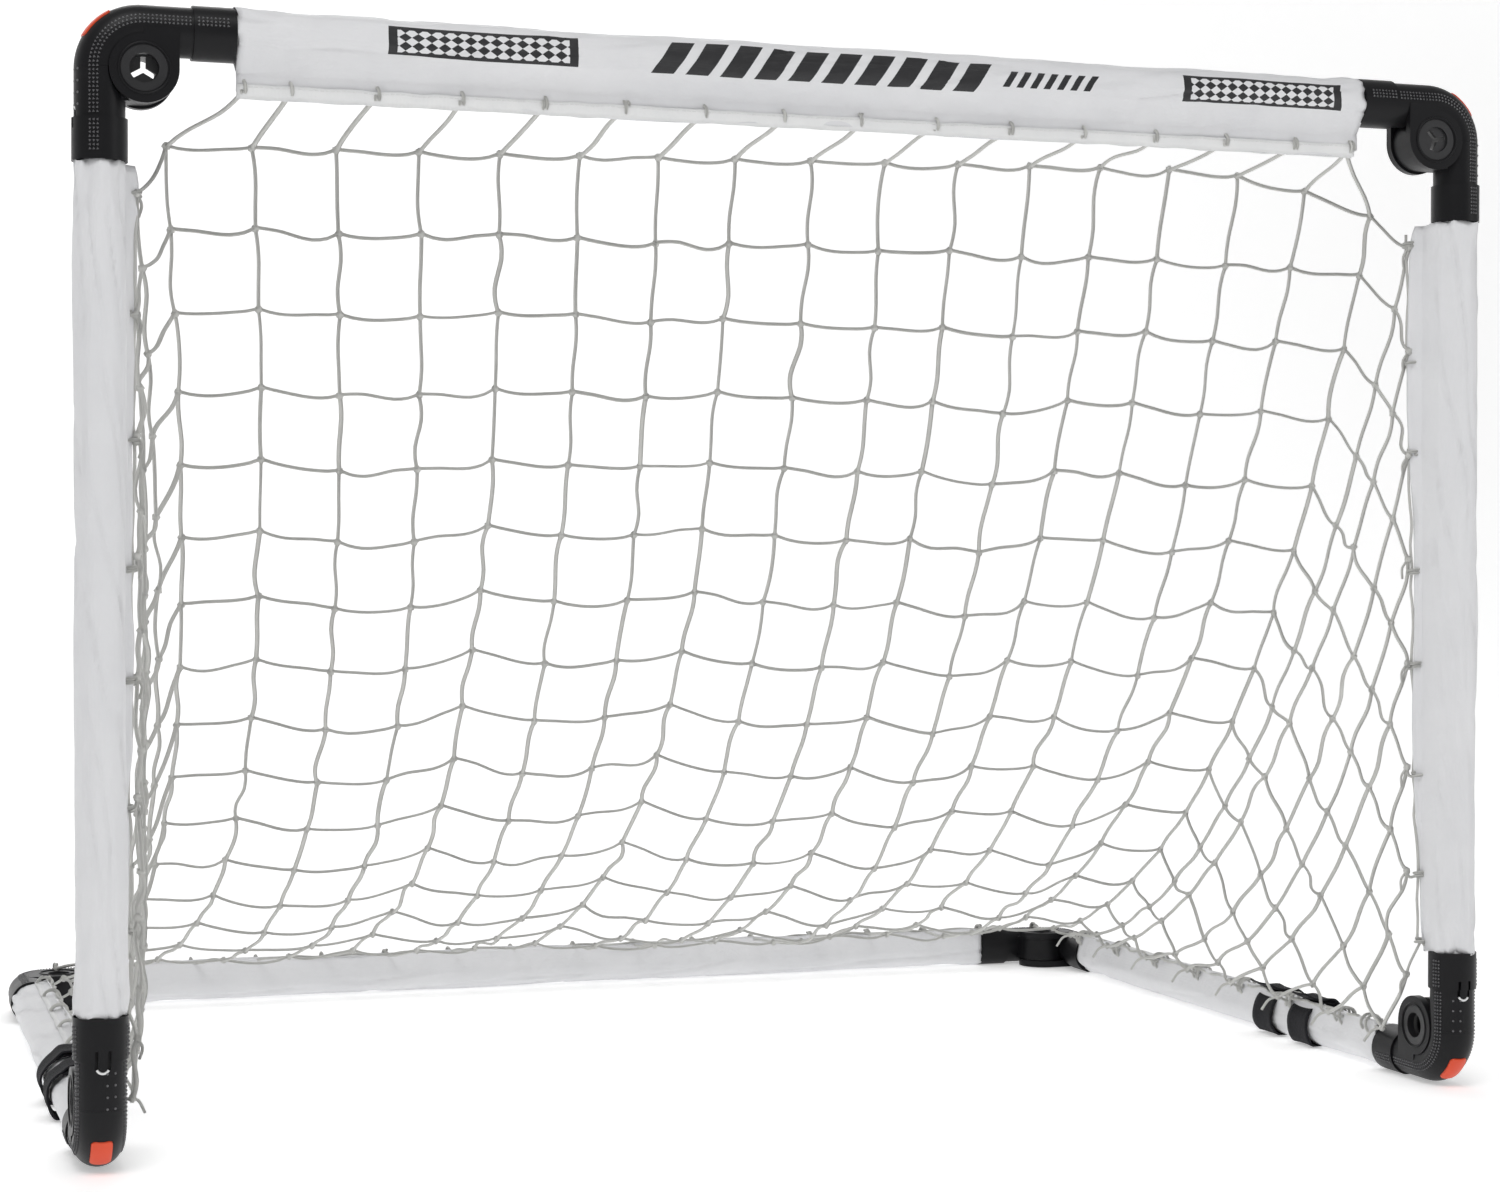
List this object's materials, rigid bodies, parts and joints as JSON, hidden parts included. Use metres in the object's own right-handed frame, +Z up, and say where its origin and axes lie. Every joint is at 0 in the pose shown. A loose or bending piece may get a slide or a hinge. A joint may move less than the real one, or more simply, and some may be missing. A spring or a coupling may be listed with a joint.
{
  "type": "folding goal with net",
  "caption": "Folding child-size goal: sleeved tube frame on hinged corner elbows with lock buttons, and a square-mesh cord net sloping to the rear bar.",
  "frame": {"origin": "centre of the frame's footprint, on the ground", "axes": "+X along the crossbar to the right as seen from the front, +Y from the posts to the rear bar, +Z up"},
  "size_m": [1.213, 0.8849, 0.8825],
  "materials": {
    "tube": "smooth white tube",
    "sleeve": "white coated polyester, softly wrinkled",
    "elbow": "black moulded plastic, fine grain",
    "pin": "black moulded plastic",
    "button": "orange-red plastic",
    "spring": "spring wire",
    "strap": "black hook-and-loop webbing",
    "net": "white braided cord"
  },
  "bodies": {
    "crossbar": {"crossbar_tube": "tube", "crossbar_sleeve": "sleeve", "top_left_bend": "elbow", "top_right_bend": "elbow", "top_left_pin": "pin", "top_right_pin": "pin", "top_left_spring": "spring", "top_right_spring": "spring", "net_back": "net", "net_left": "net", "net_right": "net"},
    "left_post": {"left_post_tube": "tube", "left_post_sleeve": "sleeve", "left_post_top_socket": "elbow", "left_post_foot_socket": "elbow"},
    "left_side": {"left_side_tube": "tube", "left_side_sleeve": "sleeve", "left_front_strap": "strap", "left_rear_strap": "strap", "left_front_bend": "elbow", "left_rear_bend": "elbow", "left_front_pin": "pin", "left_rear_pin": "pin", "left_front_spring": "spring", "left_rear_spring": "spring"},
    "right_post": {"right_post_tube": "tube", "right_post_sleeve": "sleeve", "right_post_top_socket": "elbow", "right_post_foot_socket": "elbow"},
    "right_side": {"right_side_tube": "tube", "right_side_sleeve": "sleeve", "right_front_strap": "strap", "right_rear_strap": "strap", "right_front_bend": "elbow", "right_rear_bend": "elbow", "right_front_pin": "pin", "right_rear_pin": "pin", "right_front_spring": "spring", "right_rear_spring": "spring"},
    "rear_bar": {"rear_bar_tube": "tube", "rear_bar_sleeve": "sleeve", "rear_left_socket": "elbow", "rear_right_socket": "elbow"},
    "top_left_button": {"top_left_button": "button"},
    "top_right_button": {"top_right_button": "button"},
    "left_front_button": {"left_front_button": "button"},
    "right_front_button": {"right_front_button": "button"},
    "left_rear_button": {"left_rear_button": "button"},
    "right_rear_button": {"right_rear_button": "button"}
  },
  "joints": [
    {"name": "base_fold", "type": "hinge", "parent": "crossbar", "child": "rear_bar", "pos_m": [0, -0.389, 0.051], "axis": [1, 0, 0], "range_deg": [0, 90], "deforming": ["net_back", "net_left", "net_right"]},
    {"name": "left_fold", "type": "hinge", "parent": "crossbar", "child": "left_post", "pos_m": [-0.551, -0.42, 0.829], "axis": [0, -1, 0], "range_deg": [0, 90]},
    {"name": "right_fold", "type": "hinge", "parent": "crossbar", "child": "right_post", "pos_m": [0.551, -0.42, 0.829], "axis": [0, 1, 0], "range_deg": [0, 80]},
    {"name": "left_side_fold", "type": "hinge", "parent": "rear_bar", "child": "left_side", "pos_m": [-0.551, 0.389, 0.02], "axis": [0, 0, 1], "range_deg": [0, 90]},
    {"name": "right_side_fold", "type": "hinge", "parent": "rear_bar", "child": "right_side", "pos_m": [0.551, 0.389, 0.02], "axis": [0, 0, -1], "range_deg": [0, 80]},
    {"name": "top_left_press", "type": "slide", "parent": "crossbar", "child": "top_left_button", "axis": [0.7071, 0, -0.7071], "range_m": [0, 0.0035], "stiffness_N_per_m": 900, "springref_m": -0.002, "deforming": ["top_left_spring"]},
    {"name": "top_right_press", "type": "slide", "parent": "crossbar", "child": "top_right_button", "axis": [-0.7071, 0, -0.7071], "range_m": [0, 0.0035], "stiffness_N_per_m": 900, "springref_m": -0.002, "deforming": ["top_right_spring"]},
    {"name": "left_front_press", "type": "slide", "parent": "left_side", "child": "left_front_button", "axis": [0, 0.7071, 0.7071], "range_m": [0, 0.0035], "stiffness_N_per_m": 900, "springref_m": -0.002, "deforming": ["left_front_spring"]},
    {"name": "right_front_press", "type": "slide", "parent": "right_side", "child": "right_front_button", "axis": [0, 0.7071, 0.7071], "range_m": [0, 0.0035], "stiffness_N_per_m": 900, "springref_m": -0.002, "deforming": ["right_front_spring"]},
    {"name": "left_rear_press", "type": "slide", "parent": "left_side", "child": "left_rear_button", "axis": [0.7071, -0.7071, 0], "range_m": [0, 0.0035], "stiffness_N_per_m": 900, "springref_m": -0.002, "deforming": ["left_rear_spring"]},
    {"name": "right_rear_press", "type": "slide", "parent": "right_side", "child": "right_rear_button", "axis": [-0.7071, -0.7071, 0], "range_m": [0, 0.0035], "stiffness_N_per_m": 900, "springref_m": -0.002, "deforming": ["right_rear_spring"]}
  ],
  "couplings": [
    {"joint": "left_side_fold", "follows": "left_fold", "ratio": 1},
    {"joint": "right_side_fold", "follows": "right_fold", "ratio": 1}
  ]
}
